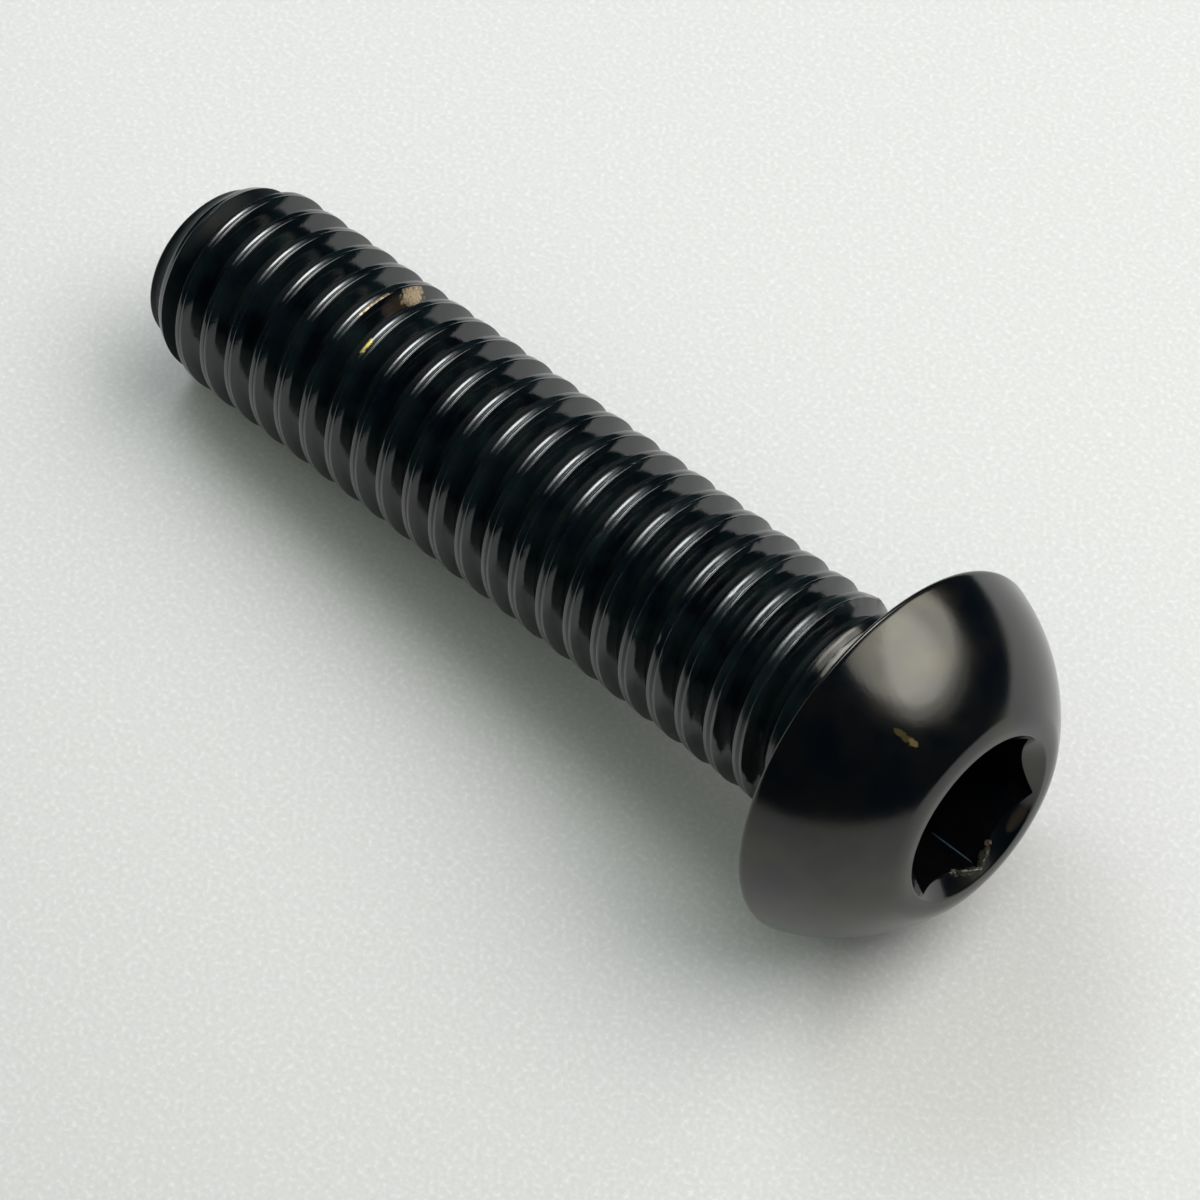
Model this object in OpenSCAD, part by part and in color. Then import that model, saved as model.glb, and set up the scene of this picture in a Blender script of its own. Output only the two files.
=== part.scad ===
// Button-head screw for a handlebar stem: hexagon socket, right-hand thread up to the head.
// It lies as it rests, on the rim of its head and on the crests near its tip. X runs to the head.

/* [Thread] */
// Nominal diameter of the thread, which names the screw and the tapped hole
thread_d = 6; // [5:0.1:8]
// How far the coated crests stay under the nominal diameter
crest_allowance = 0.18; // [0:0.01:0.25]
// Pitch of the thread
pitch = 1; // [0.8:0.05:1.25]
// Included angle between two flanks
flank_angle = 60; // [50:1:60]
// Width of the crest, over the two lips that thread rolling leaves
crest_w = 0.26; // [0.08:0.01:0.3]
// Depth of the seam between the two lips
seam_depth = 0.05; // [0:0.01:0.1]
// Radius left at the bottom of the groove, as a share of the pitch
root_round = 0.14; // [0.1:0.01:0.16]
// Angle round the axis at which the crest line leaves the tip
thread_turn = 282; // [0:1:359]
// Length from the bearing face to the tip
length = 25.2; // [12:0.1:30]

/* [Tip] */
// Diameter of the flat end face
tip_d = 4.66; // [3:0.01:4.7]
// Length of the cone that leads into the full thread
lead_l = 1.4; // [0.5:0.1:3]

/* [Neck] */
// Diameter of the rolled blank, bare between the thread and the head
neck_d = 5.35; // [4.4:0.01:5.5]
// Length of the bare neck under the head
neck_l = 1; // [0.7:0.1:3]
// Length over which the thread runs out into the neck
runout_l = 1; // [0.5:0.1:2]
// Radius of the fillet under the head
neck_fillet = 0.4; // [0.1:0.05:0.6]

/* [Head] */
// Largest diameter of the head
head_d = 10.4; // [9:0.1:14]
// Height of the head at the flat land round the socket
head_h = 3.12; // [2.6:0.01:4.5]
// Height of the straight rim under the dome
rim_h = 0.15; // [0.12:0.01:0.5]
// Radius of the edge between the rim and the bearing face
rim_round = 0.1; // [0.02:0.01:0.1]
// Width of the flat land round the socket
land_w = 0.15; // [0.05:0.01:0.5]
// Radius that carries the dome into the land
land_round = 0.87; // [0.3:0.01:1]

/* [Socket] */
// Width across the flats of the hexagon, over a 4 mm key
socket_af = 4.02; // [3:0.01:5]
// Depth of the flats below the top of the head
socket_depth = 2.1; // [1.5:0.05:2.3]
// Included angle of the cone that the punch leaves in the floor
floor_angle = 130; // [118:1:160]
// How far the round mouth stands outside the corners of the hexagon
mouth_margin = 0.08; // [0.03:0.01:0.3]
// Included angle of the countersink from the mouth down to the hexagon
sink_angle = 90; // [80:1:120]
// Turn of the hexagon round the axis
socket_turn = 4; // [0:1:59]

/* [Hidden] */

// Columns of the thread mesh in one turn
columns = 36;
// Depth by which the thread mesh carries on inside the neck
weld = 0.3;
// Step between the neck and the end of the thread mesh inside it
weld_step = 0.02;
// Smoothness of the circles
$fn = 96;

crest_r = (thread_d - crest_allowance) / 2;
flank_tan = tan(flank_angle / 2);
// The groove is a V between the flanks whose bottom is cut off by the root radius
root_r = crest_r - (pitch - crest_w) / (2 * flank_tan)
    + root_round * pitch * (1 / sin(flank_angle / 2) - 1);
root_half_w = root_round * pitch * cos(flank_angle / 2);
root_edge_r = root_r + root_round * pitch * (1 - sin(flank_angle / 2));
tip_r = min(tip_d / 2, root_r - weld_step);
thread_l = length - neck_l;
thread_end_r = neck_d / 2 - weld_step;

head_r = head_d / 2;
socket_corner_r = socket_af / 2 / cos(30);
mouth_r = socket_corner_r + mouth_margin;
// Centre of the round edge of the land, as radius and height
land_r = mouth_r + land_w;
edge_z = head_h - land_round;
// Sphere whose centre is on the axis, through the top of the rim and tangent to that edge:
// its height solves a * z^2 + b * z + c = 0
dome_k = head_r ^ 2 + rim_h ^ 2 + land_round ^ 2 - land_r ^ 2 - edge_z ^ 2;
dome_a = 4 * ((edge_z - rim_h) ^ 2 - land_round ^ 2);
dome_b = 4 * dome_k * (edge_z - rim_h) + 8 * land_round ^ 2 * rim_h;
dome_c = dome_k ^ 2 - 4 * land_round ^ 2 * (head_r ^ 2 + rim_h ^ 2);
dome_z = (sqrt(dome_b ^ 2 - 4 * dome_a * dome_c) - dome_b) / (2 * dome_a);
dome_r = norm([head_r, rim_h - dome_z]);

// One pitch of the thread outline, as [distance from the crest's centre line, radius]
outline = [
    [-crest_w / 2, crest_r],
    [0, crest_r - seam_depth],
    [crest_w / 2, crest_r],
    [pitch / 2 - root_half_w, root_edge_r],
    [pitch / 2, root_r],
    [pitch / 2 + root_half_w, root_edge_r],
];
steps = len(outline);
// The mesh starts a turn below the tip and stops past the neck, where its rows are all cut off
turns = ceil(thread_l / pitch) + 4;
rows = turns * steps;

// Height on the axis of point k in column j, before the ends are cut off
function thread_z(j, k) =
    pitch * (j / columns - thread_turn / 360 + floor(k / steps) - 1) + outline[k % steps][0];

// Radius at height z, drawn in to the cone at the tip and to the neck at the run-out
function thread_r(z, full_r) =
    let (cone = tip_r + (crest_r - tip_r) * z / lead_l)
    let (fade = max(0, 1 - (thread_l - z) / runout_l))
    min(cone, full_r * (1 - fade) + thread_end_r * fade);

// What a point of the mesh becomes: a point of the tip ring, of the neck ring, or itself
function place(j, k) =
    let (turn = floor(j / columns), column = j % columns, row = k + turn * steps)
    let (z = thread_z(column, row))
    z <= 0 ? column
    : z >= thread_l ? columns + column
    : 3 * columns + column * rows + row;

// Polar to Cartesian, on the axis of the screw
function at(column, r, z) =
    let (angle = 360 * column / columns)
    [r * cos(angle), r * sin(angle), z];

// A triangle whose corners fell on one place is left out
function solid_face(a, b, c) = a == b || b == c || c == a ? [] : [[a, b, c]];

// Outer edge of the head: land, dome, rim and bearing face, as half of a section
module head_section() {
    edge = [land_r, edge_z];
    // Direction from the centre of the dome through the point where the edge touches it
    away = [land_r, edge_z - dome_z] / norm([land_r, edge_z - dome_z]);
    difference() {
        intersection() {
            translate([0, dome_z]) circle(r = dome_r);
            square([head_r, head_h]);
        }
        translate([head_r - rim_round, 0]) square([rim_round, rim_round]);
        // The corner between the land and the dome, less its round edge
        difference() {
            polygon([edge, edge + [0, 2 * land_round], edge + 2 * land_round * away]);
            translate(edge) circle(r = land_round);
        }
    }
    intersection() {
        translate([head_r - rim_round, rim_round]) circle(r = rim_round);
        square([head_r, head_h]);
    }
}

// Countersink at the mouth, hexagon, and the cone below it
module socket() {
    floor_h = socket_af / 2 / tan(floor_angle / 2);
    floor_z = head_h - socket_depth;
    translate([0, 0, floor_z]) rotate(socket_turn) cylinder(r = socket_corner_r, h = head_h, $fn = 6);
    translate([0, 0, floor_z - floor_h]) cylinder(r1 = 0, r2 = socket_af / 2, h = floor_h);
    // The countersink starts inside the flats, and goes on past the land with nothing left to cut
    sink_r = socket_af / 4;
    sink_h = (mouth_r - sink_r) / tan(sink_angle / 2);
    translate([0, 0, head_h - sink_h]) cylinder(r1 = sink_r, r2 = 2 * mouth_r - sink_r, h = 2 * sink_h);
}

module head() {
    rotate_extrude() head_section();
}

// Bare neck with the fillet that carries it into the bearing face
module neck() {
    translate([0, 0, -neck_l]) cylinder(d = neck_d, h = neck_l + rim_h);
    rotate_extrude() difference() {
        translate([0, -neck_fillet]) square([neck_d / 2 + neck_fillet, neck_fillet + rim_h]);
        translate([neck_d / 2 + neck_fillet, -neck_fillet]) circle(r = neck_fillet);
    }
}

// Helical thread with its cone at the tip, as one mesh that stands on z = 0
module thread() {
    tip_ring = [for (j = [0:columns - 1]) at(j, tip_r, 0)];
    neck_ring = [for (j = [0:columns - 1]) at(j, thread_end_r, thread_l)];
    weld_ring = [for (j = [0:columns - 1]) at(j, thread_end_r, thread_l + weld)];
    surface = [
        for (j = [0:columns - 1], k = [0:rows - 1])
            let (z = thread_z(j, k)) at(j, thread_r(z, outline[k % steps][1]), z)
    ];
    wall = [
        for (j = [0:columns - 1], k = [0:rows - steps - 2])
            let (a = place(j, k), b = place(j + 1, k), c = place(j + 1, k + 1), d = place(j, k + 1))
            each concat(solid_face(a, d, c), solid_face(a, c, b))
    ];
    collar = [
        for (j = [0:columns - 1])
            let (a = columns + j, b = columns + (j + 1) % columns)
            each [[a, a + columns, b + columns], [a, b + columns, b]]
    ];
    tip_face = [for (j = [0:columns - 1]) j];
    weld_face = [for (j = [0:columns - 1]) 3 * columns - 1 - j];
    polyhedron(
        points = concat(tip_ring, neck_ring, weld_ring, surface),
        faces = concat(wall, collar, [tip_face, weld_face])
    );
}

// Centre of the round edge of the rim, as [height over the bearing face, radius]
rim_foot = [rim_round, head_r - rim_round];
// Lean of the axis that stands the screw on that edge and on the crest at height z from the tip
function lean_on(z) =
    let (gap = rim_foot - [z - length, thread_r(z, crest_r)])
    atan2(gap[1], gap[0]) + asin(rim_round / norm(gap));
// The first crest to reach the floor, out of those below the axis near the tip
lean = min([
    for (turn = [1:ceil(lead_l / pitch) + 2], side = [-1, 1])
        lean_on(pitch * (turn - thread_turn / 360) + side * crest_w / 2)
]);
rest_h = rim_foot[1] * cos(lean) - rim_foot[0] * sin(lean) + rim_round;
// Foremost point of the land's edge and rearmost point of the tip, which the origin lies between
front_x = edge_z * cos(lean) + land_r * sin(lean) + land_round;
back_x = -length * cos(lean) - tip_r * sin(lean);

module bolt() {
    color("#17181b")
        translate([-(front_x + back_x) / 2, 0, rest_h]) rotate([0, 90 - lean, 0]) {
            difference() {
                union() {
                    head();
                    neck();
                }
                socket();
            }
            translate([0, 0, -length]) thread();
        }
}

bolt();
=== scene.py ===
"""Handlebar stem bolt: an M6 button head screw in black oxide, lying on a pale floor."""

import math

import bpy
import numpy as np
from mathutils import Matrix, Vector, noise


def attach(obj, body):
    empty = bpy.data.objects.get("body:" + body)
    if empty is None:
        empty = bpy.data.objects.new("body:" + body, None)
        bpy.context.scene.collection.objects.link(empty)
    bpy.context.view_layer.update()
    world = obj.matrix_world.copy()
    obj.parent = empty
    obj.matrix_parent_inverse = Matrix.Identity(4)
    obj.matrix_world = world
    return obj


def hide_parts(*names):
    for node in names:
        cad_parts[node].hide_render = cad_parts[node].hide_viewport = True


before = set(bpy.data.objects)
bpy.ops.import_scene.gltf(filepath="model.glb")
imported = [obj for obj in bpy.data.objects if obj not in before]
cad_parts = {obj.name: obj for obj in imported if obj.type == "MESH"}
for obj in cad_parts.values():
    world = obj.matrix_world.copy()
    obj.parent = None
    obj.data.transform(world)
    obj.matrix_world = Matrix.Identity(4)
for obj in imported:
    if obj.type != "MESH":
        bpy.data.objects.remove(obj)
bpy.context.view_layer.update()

MM = 0.001
TAU = 2 * math.pi

# Where the screw lies: lean of its axis, height and X of the middle of its bearing face (mm)
LEAN = math.radians(5.5145)
REST_H = 5.16679
BEARING_X = 10.9763

# Thread (mm). Z of the thread runs from the tip face, 0, to the neck
LENGTH = 25.2
PITCH = 1.0
FLANK = math.radians(60)
CREST_R = 2.91
# Angle round the axis at which the crest line leaves the tip, in degrees
CREST_TURN = 281.7
ROOT_ROUND = 0.13
# Angles at which the round root has a row, and how far along each flank its middle row lies
ROOT_STEPS = (-60, -30, 0, 30, 60)
DOWN_SHARE, UP_SHARE = 0.45, 0.55
THREAD_COLUMNS = 180

# Tip (mm): radius of its cone at the face, length of the cone, least depth of the groove in it, and
# round edge of the face
TIP_R = 2.36
LEAD_L = 1.4
TIP_GROOVE = 0.13
TIP_EDGE = 0.07
TIP_EDGE_STEPS = (30, 60, 90)
# Rings of the dished tip face: radius, depth
TIP_DISH = ((2.05, 0.0), (1.9, 0.015), (1.7, 0.06), (1.3, 0.1), (0.7, 0.12), (0.25, 0.125))
# Waves round those rings: how many in a turn, their shift, and their height as a share of the
# radius
TIP_WAVES = ((2, 0.4, 0.01), (5, 0.0, 0.008))

# Run-out (mm): the thread ends just under the neck's radius, and a plug closes it inside the
# head's mesh
NECK_L = 1.0
NECK_R = 2.675
RUNOUT_L = 1.0
THREAD_END_R = NECK_R - 0.005
PLUG_L = 0.05
PLUG_R = NECK_R - 0.04
# Rounding of the corners where the thread meets the cone, and the gap that keeps rows off an end
BLEND_SOFT = 0.03
END_GAP = 1e-4

# Crest (mm and degrees): a broad lip, the seam that rolling leaves, and a small lip on the head's
# side, the ridge. Both lips lean a little towards the head near the tip and away from it near the
# head: the lean and the shoulder that falls from the lip to the seam are each (at the tip, what
# every mm adds). The row in the middle of the lip, LIP_TOP_ROW, stands at CREST_R
LIP_START = -0.2
LIP_W = 0.11
LIP_CAMBER = 0.6
LIP_TOP_ROW = 3
RIDGE_W = 0.06
LIP_LEAN = (3.9, -0.28)
SHOULDER = (0.03, 0.004)

# Unevenness of the crest. Noises: feature size (mm) and seed
COARSE, FINE, WAVE = (0.35, 1), (0.11, 2), (1.6, 3)
# It grows between these places from the tip (mm)
ROUGH_FROM, ROUGH_TO = 8, 24
# Heights (mm) of the noises: at the tip, and what the head's end adds
WAVE_H = 0.008
RIDGE_ROUGH = (0.0008, 0.010)
SEAM_ROUGH = (0.0004, 0.002)
LIP_ROUGH = (0.0006, 0.003)
RIDGE_WANDER = (0.003, 0.012)
# Two seeds read the noise this many of its features apart
SEED_STEP = 7.31

# Head (mm). Z runs from the bearing face up to the land round the socket
HEAD_R = 5.2
HEAD_H = 3.12
# Sphere of the dome and the height of its centre, as the CAD's source solves them
DOME_R = 5.48543
DOME_Z = -1.59641
RIM_ROUND = 0.1
NECK_FILLET = 0.4
# Marks that the end of the thread leaves on the neck: height and pitch
RIPPLE = 0.014
RIPPLE_PITCH = 0.24
# Foot of the head's mesh, just past the neck's end: its height and the radii of its rings
FOOT_Z = -NECK_L - 0.01
FOOT_RADII = (1.4, NECK_R - 0.02)
BEARING_RADII = (3.1, 3.4, 3.9, 4.4, 4.8, 5.0, HEAD_R - RIM_ROUND)
# Rows along the neck, its fillet, the rim's edge, the dome, the land's edge and the land. Those of
# the last two, of the countersink and of the wall count the row that they start from
NECK_ROWS, FILLET_ROWS, RIM_ROWS, DOME_ROWS, EDGE_ROWS, LAND_ROWS = 16, 9, 6, 56, 22, 5
LAND_R = 2.55095
LAND_ROUND = 0.87
# Unevenness that cold heading leaves: feature size (mm) and seed, its share of the size, and the
# heights and radii between which it sets in
DOME_NOISE = (2.2, 5)
DOME_UNEVEN = 0.0012
DOME_SETS_IN = (0.3, 0.8), (2.7, 3.2)

# Socket (mm and degrees). The mouth is where the countersink would meet the land without its
# round edge
MOUTH_R = 2.401
MOUTH_EDGE = 0.10
MOUTH_STEPS = (9, 18, 27, 36, 45)
SINK_ROWS = 14
# How much of the countersink the rows cover before the hexagon's edge
SINK_SHARE = 0.96
HEX_AF = 3.96
HEX_CORNER = 0.06
HEX_TURN = 4.3
HEX_COLUMNS = 56
# How closely the columns gather at the corners of the hexagon, from 0 to 1
CORNER_PULL = 0.86
# Broken edge between the countersink and the hexagon: radius, share of it outward, angles of rows
SINK_EDGE = 0.03
SINK_EDGE_OUT = 0.5
SINK_EDGE_STEPS = (10, 25, 40)
# Wall of the hexagon: its start under that edge, how much it narrows by the floor, and its rows
WALL_GAP = 0.05
WALL_TAPER = 0.004
WALL_ROWS = 10
# Cone in the floor, and its rings as shares of the hexagon
FLOOR_Z = 1.02
FLOOR_DEPTH = 0.92
FLOOR_SHARES = (0.97, 0.8, 0.6, 0.4, 0.2, 0.06)


def place(points):
    """From the screw's own axes, in mm, to the row frame, in metres."""
    c, s = math.cos(LEAN), math.sin(LEAN)
    x, y, z = points[..., 0], points[..., 1], points[..., 2]
    out = np.stack(
        [x * s + z * c + BEARING_X, y, -x * c + z * s + REST_H],
        axis=-1,
    )
    return out * MM


def smooth_noise(points, scale, seed):
    """Perlin noise between about -1 and 1 at each point, with a feature size in mm."""
    flat = np.asarray(points, dtype=float).reshape(-1, 3) / scale + seed * SEED_STEP
    values = [noise.noise(Vector(p)) for p in flat]
    return np.array(values).reshape(np.shape(points)[:-1])


def smoothstep(a, b, x):
    t = np.clip((x - a) / (b - a), 0, 1)
    return t * t * (3 - 2 * t)


def make_mesh(name, points, faces, slots=None):
    """A smooth-shaded mesh object from points in metres, with each face's material slot."""
    mesh = bpy.data.meshes.new(name)
    mesh.from_pydata([tuple(p) for p in points], [], faces)
    if slots:
        mesh.polygons.foreach_set("material_index", slots)
    mesh.validate()
    mesh.shade_smooth()
    obj = bpy.data.objects.new(name, mesh)
    bpy.context.scene.collection.objects.link(obj)
    return obj


# ---------------------------------------------------------------- thread


def thread_profile(z):
    """Offsets along the axis, radii and kinds of one pitch of the outline, from crest to root.

    z is an array of places along the screw: the lean and the shoulder change with it."""
    lean = LIP_LEAN[0] + LIP_LEAN[1] * z
    shoulder = SHOULDER[0] + SHOULDER[1] * z
    # Strips of the crest from the tip's side to the head's: width, slope in degrees, next point.
    # The narrow ones beside the steep ones keep the shading of the broad ones flat
    strips = (
        (0.016, -45, "lip"),
        (0.005, -18, "lip"),
        (LIP_W / 2, lean - LIP_CAMBER, "lip"),
        (LIP_W / 2, lean + LIP_CAMBER, "lip"),
        (shoulder * 0.3, lean + 5, "seam"),
        (shoulder * 0.7, lean + 7, "seam"),
        (0.005, lean, "seam"),
        (0.026, -55, "ridge"),
        (0.004, -22, "ridge"),
        (RIDGE_W, lean, "ridge"),
        (0.005, 22, "ridge"),
        (0.012, 45, "ridge"),
    )
    x, r = LIP_START + 0 * z, 0 * z
    rows = [[x, r, "lip"]]
    for width, slope, kind in strips:
        angle = np.radians(slope + 0 * z)
        x, r = x + width * np.cos(angle), r - width * np.sin(angle)
        rows.append([x, r, kind])
    top = rows[LIP_TOP_ROW][1]
    rows = [(x, CREST_R + r - top, kind) for x, r, kind in rows]

    def add(offset, radius, kind):
        rows.append((offset + 0 * z, radius + 0 * z, kind))

    # Groove: down one flank, round the root and up the flank of the next crest
    lx, lr = rows[0][0], rows[0][1]
    rx, rr = rows[-1][0], rows[-1][1]
    slope = math.tan(FLANK)
    meet_x = ((rx + lx + PITCH) + (rr - lr) / slope) / 2
    centre_r = rr - (meet_x - rx) * slope + ROOT_ROUND / math.cos(FLANK)
    half_w, half_h = ROOT_ROUND * math.sin(FLANK), ROOT_ROUND * math.cos(FLANK)
    foot_r = centre_r - half_h
    add(rx + (meet_x - half_w - rx) * DOWN_SHARE, rr + (foot_r - rr) * DOWN_SHARE, "flank")
    for angle in ROOT_STEPS:
        a = math.radians(angle)
        add(meet_x + ROOT_ROUND * math.sin(a), centre_r - ROOT_ROUND * math.cos(a), "root")
    next_x = meet_x + half_w
    add(next_x + (lx + PITCH - next_x) * UP_SHARE, foot_r + (lr - foot_r) * UP_SHARE, "flank")
    return rows


def soft_min(a, b):
    """The lower of two values, with the corner between them rounded."""
    return np.minimum(a, b) - np.maximum(BLEND_SOFT - np.abs(a - b), 0) ** 2 / (4 * BLEND_SOFT)


def blend_ends(z, radius, root_r):
    """Flattens the thread into the lead cone at the tip and into the neck at its run-out."""
    crest = soft_min(CREST_R, TIP_R + (CREST_R - TIP_R) * z / LEAD_L)
    root = soft_min(root_r, crest - TIP_GROOVE)
    radius = root + (radius - root_r) * (crest - root) / (CREST_R - root_r)
    fade = smoothstep(0, 1, 1 - (LENGTH - NECK_L - z) / RUNOUT_L)
    return radius * (1 - fade) + THREAD_END_R * fade


# Nicks in the crest: (mm from the tip, angle round the axis, length, depth). A depth under zero is
# a bump on the outline
NICKS = [
    (15.7, 161, 0.09, 0.04),
    (15.0, 154, 0.07, 0.03),
    (17.5, 174, 0.06, 0.03),
    (22.6, 122, 0.16, -0.05),
    (12.7, 214, 0.08, 0.03),
    (19.6, 232, 0.14, 0.04),
    (21.5, 244, 0.16, 0.05),
    (18.4, 256, 0.12, 0.04),
    (9.6, 236, 0.08, 0.03),
    (16.6, 205, 0.07, 0.03),
    (20.6, 190, 0.07, 0.015),
    (23.3, 200, 0.14, 0.05),
    (5.3, 250, 0.08, 0.03),
    # The photo doesn't show the side of these three, so they are invented
    (13.8, 60, 0.12, 0.04),
    (8.2, 330, 0.10, 0.04),
    (19.0, 20, 0.14, 0.05),
]
# Material slots of the shank, and which of them lies between two neighbouring rows by their kinds:
# the flank's where this says nothing
CREST_SLOT, FLANK_SLOT, ROOT_SLOT, SEAM_SLOT = range(4)
SLOT_OF_PAIR = {
    ("lip", "lip"): CREST_SLOT,
    ("ridge", "ridge"): CREST_SLOT,
    ("root", "root"): ROOT_SLOT,
    ("lip", "seam"): SEAM_SLOT,
    ("seam", "seam"): SEAM_SLOT,
}


def roughen(z, r, angle, of_kind):
    """The rows' places and radii with what rolling and wear leave on the crest."""
    on_crest = of_kind["lip"] | of_kind["seam"] | of_kind["ridge"]
    surface = np.stack([CREST_R * np.cos(angle), CREST_R * np.sin(angle), z], axis=-1)
    coarse, fine, wave = (smooth_noise(surface, *kind) for kind in (COARSE, FINE, WAVE))
    # More uneven towards the head, and most on the ridge
    toward_head = smoothstep(ROUGH_FROM, ROUGH_TO, z)

    def grown(height):
        return height[0] + height[1] * toward_head

    r = r + np.where(on_crest, WAVE_H * wave, 0)
    r = r + np.where(of_kind["ridge"], grown(RIDGE_ROUGH) * (fine + 0.5 * coarse), 0)
    r = r + np.where(of_kind["seam"], grown(SEAM_ROUGH) * (fine + coarse), 0)
    lip = LIP_ROUGH[0] * coarse + LIP_ROUGH[1] * toward_head * fine
    r = r + np.where(of_kind["lip"], lip, 0)
    z = z + np.where(of_kind["ridge"], grown(RIDGE_WANDER) * coarse, 0)
    for z0, angle0, length, depth in NICKS:
        away = (angle - math.radians(angle0) + math.pi) % TAU - math.pi
        d2 = (away * CREST_R / length) ** 2 + ((z - z0) / length) ** 2
        r = r - depth * np.exp(-d2) * on_crest
    return z, r


def build_thread():
    n = THREAD_COLUMNS
    theta = TAU * np.arange(n) / n
    start = theta / TAU - CREST_TURN / 360
    # The rows start a turn below the tip and stop past the neck
    turns = int(LENGTH / PITCH) + 3
    z_first, z_last = TIP_EDGE, LENGTH - NECK_L
    rows_z, rows_r, root_r, kinds = [], [], [], []
    for turn in range(-1, turns):
        crest = PITCH * (start + turn)
        profile = thread_profile(crest)
        lowest = np.min([radius for _, radius, _ in profile], axis=0)
        for offset, radius, kind in profile:
            rows_z.append(crest + offset)
            rows_r.append(radius)
            root_r.append(lowest)
            kinds.append(kind)
    z, r, root_r = np.array(rows_z), np.array(rows_r), np.array(root_r)
    angle = np.broadcast_to(theta, z.shape)
    of_kind = {
        kind: np.array([k == kind for k in kinds])[:, None] for kind in ("lip", "seam", "ridge")
    }
    z, r = roughen(z, r, angle, of_kind)
    r = blend_ends(z, r, root_r)

    # Rows past either end fall on one ring, so the helix starts and stops cleanly
    inside = (z > z_first + END_GAP) & (z < z_last - END_GAP)
    below = z <= z_first + END_GAP
    index = np.full(z.shape, -1)
    index[inside] = np.arange(inside.sum())
    points = list(np.stack([r * np.cos(angle), r * np.sin(angle), z], axis=-1)[inside])

    def ring(level, radius):
        first = len(points)
        for j in range(n):
            rj = radius[j] if np.ndim(radius) else radius
            points.append([rj * math.cos(theta[j]), rj * math.sin(theta[j]), level])
        return first

    # Radius of the outline in each column at the edge of the tip face
    first_r = np.array([np.interp(z_first, z[:, j], r[:, j]) for j in range(n)])
    tip_ring = ring(z_first, first_r)
    neck_ring = ring(z_last, THREAD_END_R)
    for j in range(n):
        column = index[:, j]
        column[(column < 0) & below[:, j]] = tip_ring + j
        column[column < 0] = neck_ring + j

    faces, slots = [], []
    row_count = z.shape[0]
    per_turn = row_count // (turns + 1)
    for k in range(row_count - per_turn - 1):
        slot = SLOT_OF_PAIR.get((kinds[k], kinds[k + 1]), FLANK_SLOT)
        for j in range(n):
            # The rolls hardly touch the lead cone, so its flanks stay as dull as the root
            on_cone = slot == FLANK_SLOT and z[k, j] < LEAD_L
            nxt = (j + 1) % n
            wrap = per_turn if nxt == 0 else 0
            a, d = index[k, j], index[k + 1, j]
            b, c = index[k + wrap, nxt], index[k + 1 + wrap, nxt]
            corners = []
            for v in (a, b, c, d):
                if v not in corners:
                    corners.append(int(v))
            if len(corners) > 2:
                faces.append(corners)
                slots.append(ROOT_SLOT if on_cone else slot)

    def join(lower, upper):
        for j in range(n):
            k = (j + 1) % n
            faces.append([lower + j, lower + k, upper + k, upper + j])
            slots.append(FLANK_SLOT)

    def cap(last, level, up):
        centre = len(points)
        points.append([0, 0, level])
        for j in range(n):
            k = (j + 1) % n
            faces.append([last + j, last + k, centre] if up else [last + k, last + j, centre])
            slots.append(FLANK_SLOT)

    # Rounded edge of the tip face and the shallow dish that rolling leaves in it
    upper = tip_ring
    for step in TIP_EDGE_STEPS:
        a = math.radians(step)
        inset = TIP_EDGE * (1 - math.cos(a))
        lower = ring(z_first - TIP_EDGE * math.sin(a), first_r - inset)
        join(lower, upper)
        upper = lower
    wobble = 1
    for count, shift, height in TIP_WAVES:
        wobble = wobble + height * np.sin(count * theta + shift)
    for radius, level in TIP_DISH:
        lower = ring(level, radius * wobble)
        join(lower, upper)
        upper = lower
    cap(upper, TIP_DISH[-1][1], False)
    inner = ring(z_last + PLUG_L, PLUG_R)
    join(neck_ring, inner)
    cap(inner, z_last + PLUG_L, True)

    points = np.array(points)
    points[:, 2] -= LENGTH
    return make_mesh("bolt_shank", place(points), faces, slots)


# ---------------------------------------------------------------- head


def head_columns():
    """Angles of the head's columns, closer together at the corners of the hexagon."""
    t = np.arange(HEX_COLUMNS) / HEX_COLUMNS
    side = 60 * (t - CORNER_PULL * np.sin(TAU * t) / TAU)
    return np.radians(np.concatenate([HEX_TURN + 60 * k + side for k in range(6)]))


def hex_radius(angle, af):
    """Radius of a hexagon with rounded corners; a corner lies at angle HEX_TURN."""
    half = af / 2
    off_flat = (angle - math.radians(HEX_TURN)) % math.radians(60) - math.radians(30)
    off_corner = math.radians(30) - np.abs(off_flat)
    centre = (half - HEX_CORNER) / math.cos(math.radians(30))
    reach = HEX_CORNER**2 - (centre * np.sin(off_corner)) ** 2
    turned = np.abs(off_flat) > math.atan2(centre * math.sin(math.radians(30)), half)
    rounded = centre * np.cos(off_corner) + np.sqrt(np.maximum(reach, 0))
    return np.where(turned, rounded, half / np.cos(off_flat))


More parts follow.
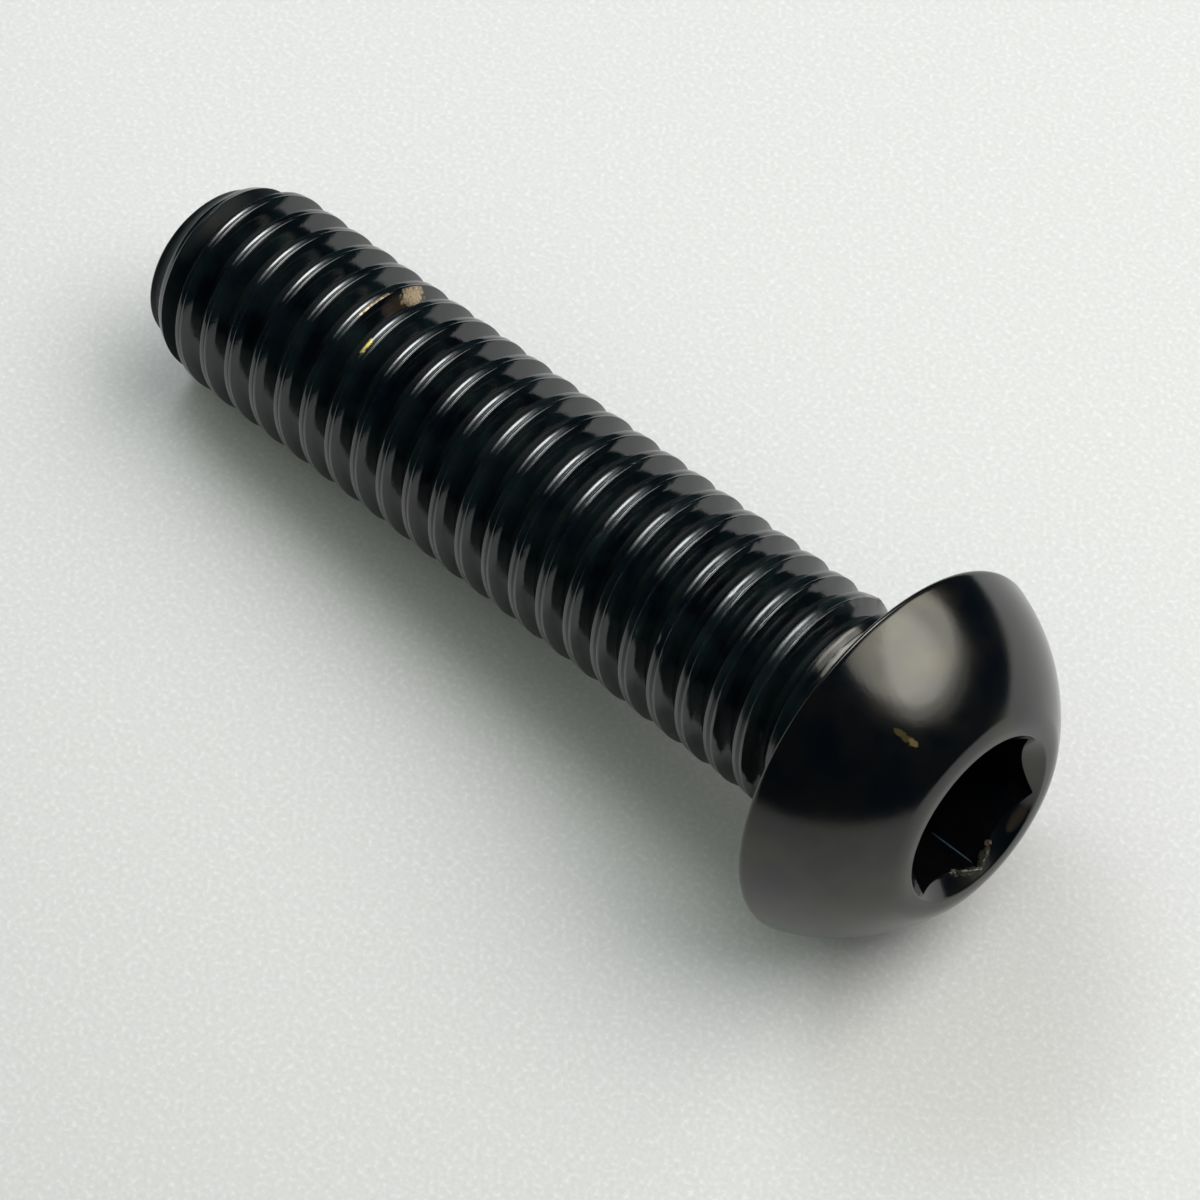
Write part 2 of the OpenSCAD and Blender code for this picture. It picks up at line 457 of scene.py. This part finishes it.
def outer_section():
    """Points (radius, height) of the head's section, from inside the neck to the countersink."""
    out = [(0.0, FOOT_Z)] + [(r, FOOT_Z) for r in FOOT_RADII]
    out += [(NECK_R, z) for z in np.linspace(-NECK_L, -NECK_FILLET, NECK_ROWS)]
    for a in np.radians(np.linspace(10, 90, FILLET_ROWS)):
        radius = NECK_R + NECK_FILLET * (1 - math.cos(a))
        out.append((radius, -NECK_FILLET + NECK_FILLET * math.sin(a)))
    out += [(r, 0.0) for r in BEARING_RADII]
    for a in np.radians(np.linspace(15, 90, RIM_ROWS)):
        radius = HEAD_R - RIM_ROUND + RIM_ROUND * math.sin(a)
        out.append((radius, RIM_ROUND - RIM_ROUND * math.cos(a)))
    # Dome, the round edge of the land, the land, and the round edge of the countersink
    rim_angle = math.asin(HEAD_R / DOME_R)
    land_angle = math.asin(LAND_R / (DOME_R - LAND_ROUND))
    for a in np.linspace(rim_angle, land_angle, DOME_ROWS):
        out.append((DOME_R * math.sin(a), DOME_Z + DOME_R * math.cos(a)))
    for a in np.linspace(land_angle, 0, EDGE_ROWS)[1:]:
        out.append((LAND_R + LAND_ROUND * math.sin(a), HEAD_H - LAND_ROUND * (1 - math.cos(a))))
    inset = MOUTH_EDGE * math.tan(math.radians(22.5))
    out += [(r, HEAD_H) for r in np.linspace(LAND_R, MOUTH_R + inset, LAND_ROWS)[1:]]
    for a in np.radians(MOUTH_STEPS):
        radius = MOUTH_R + inset - MOUTH_EDGE * math.sin(a)
        out.append((radius, HEAD_H - MOUTH_EDGE * (1 - math.cos(a))))
    return out


# Burrs that the hexagon's punch left on its edge: angle round the axis and width in degrees, and
# height in mm
BURRS = [
    (-15.5, 2.4, 0.05),
    (-10.0, 1.6, 0.03),
    (-4.0, 2.0, 0.035),
    (3.5, 1.6, 0.05),
    (9.0, 2.0, 0.035),
    (13.5, 1.8, 0.05),
    (18.5, 2.4, 0.06),
    (23.0, 1.4, 0.03),
]
# The ragged part of the edge starts and ends between these angles
RAGGED_STARTS, RAGGED_ENDS = (-22, -17), (22, 27)
# Its two noises, as feature size (mm) and seed, and the share of the second
RAGGED, RAGGED_FINE, FINE_SHARE = (0.09, 8), (0.04, 9), 0.6
# A burr rises by this share of its height, and by this share of it times the noise
BURR_RISE, BURR_ROUGH = 0.55, 0.7
# What the noise moves up and outward along the ragged part (mm), and outward with a burr's height
RAGGED_UP, RAGGED_OUT, BURR_OUT = 0.02, 0.03, 0.5
# How many rows of the countersink the burrs take in
BURRED_ROWS = 3


def add_burrs(ring, phi):
    """Moves the points of one ring at the hexagon's edge: burrs, and a ragged edge under them."""
    angle = (np.degrees(phi) + 180) % 360 - 180
    rough = smooth_noise(ring, *RAGGED) + FINE_SHARE * smooth_noise(ring, *RAGGED_FINE)
    lift = np.zeros(len(phi))
    for middle, width, height in BURRS:
        lift += height * np.exp(-(((angle - middle) / width) ** 2))
    zone = smoothstep(*RAGGED_STARTS, angle) * (1 - smoothstep(*RAGGED_ENDS, angle))
    ring[:, 2] += lift * (BURR_RISE + BURR_ROUGH * rough) + RAGGED_UP * zone * rough
    outward = (BURR_OUT * lift + RAGGED_OUT * zone) * rough
    ring[:, :2] *= (1 + outward / np.hypot(ring[:, 0], ring[:, 1]))[:, None]


def build_head():
    phi = head_columns()
    n = len(phi)
    rings = []

    def ring(radius, level):
        radius, level = np.broadcast_to(radius, phi.shape), np.broadcast_to(level, phi.shape)
        rings.append(np.stack([radius * np.cos(phi), radius * np.sin(phi), level], axis=-1))

    section = outer_section()
    for radius, level in section[1:]:
        if radius == NECK_R:
            # The last marks of the thread's run-out
            radius = NECK_R + RIPPLE * np.sin(TAU * (level / RIPPLE_PITCH) - phi)
        ring(radius, level)

    # Countersink down to the hexagon, whose edge with it is slightly broken
    hexagon = hex_radius(phi, HEX_AF)
    edge_z = HEAD_H - (MOUTH_R - hexagon)
    start_r = section[-1][0]
    for share in np.linspace(0, SINK_SHARE, SINK_ROWS)[1:]:
        radius = start_r + (hexagon - start_r) * share
        ring(radius, HEAD_H - (MOUTH_R - radius))
    first_burred = len(rings) - BURRED_ROWS
    for a in np.radians(SINK_EDGE_STEPS):
        outward = SINK_EDGE * (1 - math.sin(math.radians(45) + a)) * SINK_EDGE_OUT
        ring(hexagon + outward, edge_z - SINK_EDGE * math.sin(a))
    last_burred = len(rings)
    wall_top = edge_z - WALL_GAP
    for share in np.linspace(0, 1, WALL_ROWS)[1:]:
        ring(hexagon * (1 - WALL_TAPER * share), wall_top + (FLOOR_Z - wall_top) * share)
    for share in FLOOR_SHARES:
        ring(hexagon * share, FLOOR_Z - FLOOR_DEPTH * (1 - share))
    for at_edge in rings[first_burred : last_burred + 1]:
        add_burrs(at_edge, phi)

    points = np.concatenate(rings)
    bump = smooth_noise(points, *DOME_NOISE)
    level = points[:, 2]
    radial = np.hypot(points[:, 0], points[:, 1])
    in_height, in_radius = DOME_SETS_IN
    on_dome = smoothstep(*in_height, level) * smoothstep(*in_radius, radial)
    points = points * (1 + (DOME_UNEVEN * bump * on_dome)[:, None])

    points = list(points)
    faces = []
    for i in range(len(rings) - 1):
        for j in range(n):
            k = (j + 1) % n
            faces.append([i * n + j, i * n + k, (i + 1) * n + k, (i + 1) * n + j])
    bottom = len(points)
    points.append(np.array([0, 0, FOOT_Z]))
    top = len(points)
    points.append(np.array([0, 0, FLOOR_Z - FLOOR_DEPTH]))
    last = (len(rings) - 1) * n
    for j in range(n):
        k = (j + 1) % n
        faces.append([k, j, bottom])
        faces.append([last + j, last + k, top])
    return make_mesh("bolt_head", place(np.array(points)), faces)


# ---------------------------------------------------------------- materials


def on_shank(z, angle, radius):
    """A point of the shank in the row frame, z in mm from the tip and angle in degrees."""
    a = math.radians(angle)
    return place(np.array([radius * math.cos(a), radius * math.sin(a), z - LENGTH]))


def on_head(z, angle, radius):
    """A point of the head in the row frame, z in mm from the bearing face."""
    return on_shank(z + LENGTH, angle, radius)


COPPER = (0.46, 0.35, 0.23, 1)
BRASS = (0.74, 0.60, 0.17, 1)
STEEL = (0.26, 0.24, 0.21, 1)
STAIN = (0.022, 0.017, 0.014, 1)
DARK_GOLD = (0.07, 0.055, 0.022, 1)
GOLD = (0.21, 0.16, 0.07, 1)
DULL_STEEL = (0.05, 0.05, 0.045, 1)
WARM_STEEL = (0.06, 0.058, 0.05, 1)
PALE_COPPER = (0.22, 0.17, 0.12, 1)
# Colour of a painted highlight: the pale line down one corner of the hexagon
PAINTED_CORNER_HIGHLIGHT = (0.035, 0.06, 0.085, 1)

# Worn spots and stains, and on the head one painted highlight: the two ends of each, how far it
# reaches (mm), its colour and how metallic it is
FLANK_SPOTS = [
    (on_shank(6.90, 174, 2.6), on_shank(6.88, 152, 2.66), 0.12, STAIN, 0.0),
    (on_shank(6.84, 155, 2.72), on_shank(6.88, 142, 2.72), 0.22, COPPER, 0.7),
]
CREST_SPOTS = [
    (on_shank(6.78, 189, 2.9), on_shank(6.70, 165, 2.9), 0.016, COPPER, 0.7),
    (on_shank(7.60, 203, 2.9), on_shank(7.58, 194, 2.9), 0.05, BRASS, 1.0),
]
HEAD_SPOTS = [
    # The dash on the dome, with its brighter end
    (on_head(1.876, 202.1, 4.246), on_head(2.40, 201.0, 3.76), 0.022, DARK_GOLD, 0.4),
    (on_head(2.22, 201.4, 3.93), on_head(2.38, 201.0, 3.78), 0.034, GOLD, 0.6),
    # Bright flecks along the burrs
    (on_head(2.74, -16.0, 2.07), on_head(2.72, -13.5, 2.07), 0.065, STEEL, 0.8),
    (on_head(2.76, -14.0, 2.12), on_head(2.95, 4.0, 2.29), 0.019, DULL_STEEL, 0.5),
    (on_head(2.93, 3.0, 2.29), on_head(2.93, 5.5, 2.29), 0.055, STEEL, 0.8),
    (on_head(2.93, 5.0, 2.29), on_head(2.78, 19.0, 2.10), 0.030, WARM_STEEL, 0.5),
    (on_head(2.76, 18.0, 2.09), on_head(2.74, 22.0, 2.08), 0.048, PALE_COPPER, 0.6),
    # The stain in the countersink, and a painted highlight: a pale blue line down one corner of the
    # hexagon, where its edge catches the light
    (on_head(2.93, 34.0, 2.21), on_head(3.00, 56.0, 2.28), 0.055, STAIN, 0.0),
    (on_head(2.90, 4.3, 2.2765), on_head(1.35, 4.3, 2.2695), 0.0008, PAINTED_CORNER_HIGHLIGHT, 0.0),
]
# At a point, the distances to a spot's two ends, less the gap between them, plus a wobble: the spot
# is full where they come to SPOT_FULL reaches, and gone at SPOT_GONE. The wobble is SPOT_RAGGED
# reaches times the speck noise, or times the soft edge's share for a stain or the painted
# highlight. Bare metal is at least this rough
SPOT_FULL, SPOT_GONE = 3.2, 4.6
SPOT_RAGGED = 6
STAIN_AND_HIGHLIGHT_EDGE = 0.5
BARE_ROUGHNESS = 0.4

# Noises of the oxide, as scale and detail: cloudy patches and fine specks
CLOUD, SPECK = (900, 4), (9000, 3)
# The oxide's colour, what its patches tend to on the thread and on the head, and the parts of the
# cloud noise in which colour, gloss and tint change
OXIDE = (0.0008, 0.0016, 0.0034, 1)
TEAL = (0.0045, 0.0095, 0.0110, 1)
BROWN = (0.0030, 0.0024, 0.0024, 1)
COLOUR_STOPS, GLOSS_STOPS, TINT_STOPS = (0.35, 0.72), (0.3, 0.7), (0.38, 0.62)
# Roughness of the oxide at the two ends of the cloud noise, as shares of a material's own
GLOSS_SHARES = (0.8, 1.25)
# Where along X the roughness starts and stops changing towards the head (m)
ROUGHER_ALONG = (-0.004, 0.009)
# Depth of the oxide's grain (m), whose strength is a material's own
OXIDE_GRAIN = 0.00001
# The cloudy colours of the reflections in the head
HEAD_TINTS = (0.85, 0.85, 0.84, 1), (1.0, 0.98, 0.90, 1)

# The shank's materials in the order of its slots, then the head's
SHANK_OXIDES = (
    {
        "name": "black_oxide_crest",
        "ior": 1.8,
        "roughness": 0.10,
        "grain": 0.1,
        "cloudy": TEAL,
        "spots": CREST_SPOTS,
        "rough_head": 2.0,
    },
    {
        "name": "black_oxide_flank",
        "ior": 1.64,
        "roughness": 0.12,
        "grain": 0.2,
        "cloudy": TEAL,
        "spots": FLANK_SPOTS,
    },
    {"name": "black_oxide_root", "ior": 1.2, "roughness": 0.45, "grain": 0.3, "cloudy": TEAL},
    {"name": "black_oxide_seam", "ior": 1.5, "roughness": 0.18, "grain": 0.2, "cloudy": TEAL},
)
HEAD_OXIDE = {
    "name": "black_oxide_head",
    "ior": 1.66,
    "roughness": 0.16,
    "grain": 0.12,
    "cloudy": BROWN,
    "spots": HEAD_SPOTS,
    "tints": HEAD_TINTS,
}

# Floor: scale and detail of its grain, strength and depth (m) of its bump, and gloss
FLOOR_NOISE = (6800, 4)
FLOOR_BUMP, FLOOR_GRAIN = 0.35, 0.00003
FLOOR_ROUGHNESS = 0.75
FLOOR_IOR = 1.3
FLOOR_TONES = (
    (0.30, (0.582, 0.592, 0.650, 1)),
    (0.56, (0.624, 0.635, 0.698, 1)),
    (0.70, (0.690, 0.702, 0.772, 1)),
)
# Painted shade: the floor's colour falls to a share of itself towards -Y, as if less light reached
# it there: from the second place to the first (m), share
FLOOR_SHADE = (-0.030, 0.004, 0.84)


def node_material(name):
    mat = bpy.data.materials.new(name)
    mat.use_nodes = True
    return mat, mat.node_tree.nodes, mat.node_tree.links, mat.node_tree.nodes["Principled BSDF"]


def noise_texture(nodes, links, coords, scale, detail):
    tex = nodes.new("ShaderNodeTexNoise")
    tex.inputs["Scale"].default_value = scale
    tex.inputs["Detail"].default_value = detail
    links.new(coords, tex.inputs["Vector"])
    return tex.outputs["Fac"]


def math_node(nodes, links, operation, *values):
    """A Math node whose inputs are numbers or sockets; answers with its output."""
    node = nodes.new("ShaderNodeMath")
    node.operation = operation
    for socket, value in zip(node.inputs, values):
        if isinstance(value, (int, float)):
            socket.default_value = value
        else:
            links.new(value, socket)
    return node.outputs[0]


def map_range(nodes, links, value, low, high, to_low, to_high):
    node = nodes.new("ShaderNodeMapRange")
    node.inputs["From Min"].default_value = low
    node.inputs["From Max"].default_value = high
    node.inputs["To Min"].default_value = to_low
    node.inputs["To Max"].default_value = to_high
    links.new(value, node.inputs["Value"])
    return node.outputs["Result"]


def axis_of(nodes, links, coords, axis):
    """One of the three coordinates."""
    node = nodes.new("ShaderNodeSeparateXYZ")
    links.new(coords, node.inputs["Vector"])
    return node.outputs[axis]


def colour_ramp(nodes, links, value, stops):
    """A ramp through two or three stops of (position, colour)."""
    node = nodes.new("ShaderNodeValToRGB")
    elements = node.color_ramp.elements
    if len(stops) > len(elements):
        elements.new(0.5)
    for element, (position, tone) in zip(elements, stops):
        element.position, element.color = position, tone
    links.new(value, node.inputs["Fac"])
    return node.outputs["Color"]


def colour_mix(nodes, links, share):
    """A node that mixes the colours A and B."""
    mix = nodes.new("ShaderNodeMix")
    mix.data_type = "RGBA"
    links.new(share, mix.inputs["Factor"])
    return mix


def add_bump(nodes, links, shader, height, strength, distance):
    bump = nodes.new("ShaderNodeBump")
    bump.inputs["Strength"].default_value = strength
    bump.inputs["Distance"].default_value = distance
    links.new(height, bump.inputs["Height"])
    links.new(bump.outputs["Normal"], shader.inputs["Normal"])


def spot_mask(nodes, links, coords, wobble, start, end, reach):
    """1 within an ellipse whose foci are the ends of the spot, fading to 0 outside it."""
    total = wobble
    for point in (start, end):
        node = nodes.new("ShaderNodeVectorMath")
        node.operation = "DISTANCE"
        node.inputs[1].default_value = [float(v) for v in point]
        links.new(coords, node.inputs[0])
        total = math_node(nodes, links, "ADD", total, node.outputs["Value"])
    gap = float(np.linalg.norm(end - start))
    gone, full = gap + SPOT_GONE * reach * MM, gap + SPOT_FULL * reach * MM
    return map_range(nodes, links, total, gone, full, 0, 1)


def black_oxide(name, ior, roughness, grain, cloudy, spots=(), rough_head=1.0, tints=()):
    """Black oxide over steel: almost black, with cloudy patches, spots where it has gone, stains,
    and on the head a painted highlight.

    The roughness changes from the tip's to rough_head times that at the head, and the reflections
    are tinted between two colours."""
    mat, nodes, links, shader = node_material(name)
    coords = nodes.new("ShaderNodeTexCoord").outputs["Object"]
    cloud = noise_texture(nodes, links, coords, *CLOUD)
    speck = noise_texture(nodes, links, coords, *SPECK)
    colour = colour_ramp(nodes, links, cloud, tuple(zip(COLOUR_STOPS, (OXIDE, cloudy))))
    smooth, dull = GLOSS_SHARES
    gloss = map_range(nodes, links, cloud, *GLOSS_STOPS, roughness * smooth, roughness * dull)
    along = axis_of(nodes, links, coords, "X")
    along = map_range(nodes, links, along, *ROUGHER_ALONG, 1, rough_head)
    gloss = math_node(nodes, links, "MULTIPLY", gloss, along)
    metal = None
    for start, end, reach, tone, metallic in spots:
        # Bare metal has a ragged edge; a stain, or the painted highlight, a soft one
        edge = speck if metallic else STAIN_AND_HIGHLIGHT_EDGE
        wobble = math_node(nodes, links, "MULTIPLY", edge, reach * MM * SPOT_RAGGED)
        mask = spot_mask(nodes, links, coords, wobble, start, end, reach)
        mix = colour_mix(nodes, links, mask)
        links.new(colour, mix.inputs["A"])
        mix.inputs["B"].default_value = tone
        colour = mix.outputs["Result"]
        share = math_node(nodes, links, "MULTIPLY", mask, metallic)
        metal = share if metal is None else math_node(nodes, links, "MAXIMUM", metal, share)
        bare = math_node(nodes, links, "MULTIPLY", share, BARE_ROUGHNESS)
        gloss = math_node(nodes, links, "MAXIMUM", gloss, bare)
    if metal is not None:
        links.new(metal, shader.inputs["Metallic"])
    links.new(colour, shader.inputs["Base Color"])
    links.new(gloss, shader.inputs["Roughness"])
    if tints:
        tint = colour_mix(nodes, links, map_range(nodes, links, cloud, *TINT_STOPS, 0, 1))
        tint.inputs["A"].default_value, tint.inputs["B"].default_value = tints
        links.new(tint.outputs["Result"], shader.inputs["Specular Tint"])
    add_bump(nodes, links, shader, speck, grain, OXIDE_GRAIN)
    shader.inputs["IOR"].default_value = ior
    return mat


def floor_material():
    mat, nodes, links, shader = node_material("pale_floor")
    coords = nodes.new("ShaderNodeTexCoord").outputs["Object"]
    grain = noise_texture(nodes, links, coords, *FLOOR_NOISE)
    # Painted shade: the floor's colour darkens towards -Y
    low, high, shade = FLOOR_SHADE
    level = map_range(nodes, links, axis_of(nodes, links, coords, "Y"), low, high, shade, 1)
    painted_shade_colour = nodes.new("ShaderNodeVectorMath")
    painted_shade_colour.operation = "SCALE"
    links.new(colour_ramp(nodes, links, grain, FLOOR_TONES), painted_shade_colour.inputs[0])
    links.new(level, painted_shade_colour.inputs["Scale"])
    links.new(painted_shade_colour.outputs["Vector"], shader.inputs["Base Color"])
    add_bump(nodes, links, shader, grain, FLOOR_BUMP, FLOOR_GRAIN)
    shader.inputs["Roughness"].default_value = FLOOR_ROUGHNESS
    shader.inputs["IOR"].default_value = FLOOR_IOR
    return mat


# ---------------------------------------------------------------- set

FLOOR_SIZE = 6.0
SURROUND = (0.010, 0.019, 0.023, 1)
LAMP_H = 0.28
LAMP_STEP = 0.002
# Softboxes, each a little above the last, which add up where they overlap: middle, size and turn,
# in units of LAMP_H and degrees, and radiance. The first five face the head, the others the crests
LAMPS = [
    (0.72, 0.85, 1.90, 1.90, 0, 0.55),
    (0.58, 0.84, 1.35, 1.90, 39, 1.1),
    (0.50, 0.80, 1.08, 1.60, 39, 1.8),
    (0.48, 0.42, 1.25, 1.05, 28, 1.1),
    (0.42, 0.36, 1.00, 0.88, 28, 1.0),
    (-0.85, 0.42, 0.80, 1.70, 0, 0.4),
    (-0.80, 0.38, 0.50, 1.35, 0, 1.1),
    (-0.79, 0.36, 0.30, 0.95, 0, 3.7),
    (-0.79, 0.33, 0.20, 0.65, 0, 5.6),
]
HEAD_TONE = (1.0, 0.965, 0.85)
CREST_TONE = (0.97, 1.0, 0.99)
# Fill from the other side, which leaves no reflection: middle, size and radiance as above
FILL = (-0.5, -0.9, 2.5, 0.72)
FILL_TONE = (0.95, 1.0, 0.78)
CAMERA_AT = (0.0501411, -0.0482597, 0.0953285)
CAMERA_AZIMUTH = 45.5460
CAMERA_ELEVATION = 53.6460
CAMERA_LENS = 133.2816
CAMERA_SENSOR = 36
CAMERA_CLIP = (0.001, 50)


def build_floor():
    bpy.ops.mesh.primitive_plane_add(size=FLOOR_SIZE)
    floor = bpy.context.active_object
    floor.name = "floor"
    floor.data.materials.append(floor_material())


def add_lamp(name, x, y, size_x, size_y, turn, radiance, height):
    """An elliptical softbox that faces down; it gives the same radiance at any size."""
    lamp = bpy.data.lights.new(name, "AREA")
    lamp.shape = "ELLIPSE"
    lamp.size, lamp.size_y = size_x * LAMP_H, size_y * LAMP_H
    area = lamp.size * lamp.size_y * (math.pi / 4)
    lamp.energy = radiance * math.pi * area
    obj = bpy.data.objects.new(name, lamp)
    obj.location = (x * LAMP_H, y * LAMP_H, height)
    obj.rotation_euler[2] = math.radians(turn)
    obj.visible_camera = False
    bpy.context.scene.collection.objects.link(obj)
    return obj


def build_light():
    for k, lamp in enumerate(LAMPS):
        softbox = add_lamp(f"softbox_{k}", *lamp, LAMP_H + k * LAMP_STEP)
        softbox.data.color = HEAD_TONE if lamp[0] > 0 else CREST_TONE
    x, y, size, radiance = FILL
    fill = add_lamp("fill", x, y, size, size, 0, radiance, LAMP_H - LAMP_STEP)
    fill.data.color = FILL_TONE
    fill.visible_glossy = False

    world = bpy.data.worlds.new("studio")
    bpy.context.scene.world = world
    world.use_nodes = True
    world.node_tree.nodes["Background"].inputs["Color"].default_value = SURROUND
    world.node_tree.nodes["Background"].inputs["Strength"].default_value = 1.0


def build_camera():
    data = bpy.data.cameras.new("camera")
    data.lens = CAMERA_LENS
    data.sensor_width = CAMERA_SENSOR
    data.clip_start, data.clip_end = CAMERA_CLIP
    cam = bpy.data.objects.new("camera", data)
    bpy.context.scene.collection.objects.link(cam)
    azimuth, elevation = math.radians(CAMERA_AZIMUTH), math.radians(CAMERA_ELEVATION)
    look = Vector(
        (
            -math.sin(azimuth) * math.cos(elevation),
            math.cos(azimuth) * math.cos(elevation),
            -math.sin(elevation),
        )
    )
    cam.location = CAMERA_AT
    cam.rotation_mode = "QUATERNION"
    cam.rotation_quaternion = look.to_track_quat("-Z", "Y")
    bpy.context.scene.camera = cam


build_camera()
build_floor()
build_light()
shank = build_thread()
head = build_head()
for oxide in SHANK_OXIDES:
    shank.data.materials.append(black_oxide(**oxide))
head.data.materials.append(black_oxide(**HEAD_OXIDE))
for piece in (shank, head):
    normals = piece.modifiers.new("normals", "WEIGHTED_NORMAL")
    normals.keep_sharp = False
    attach(piece, "root")
    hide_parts("bolt")

bpy.context.scene.view_settings.view_transform = "Standard"
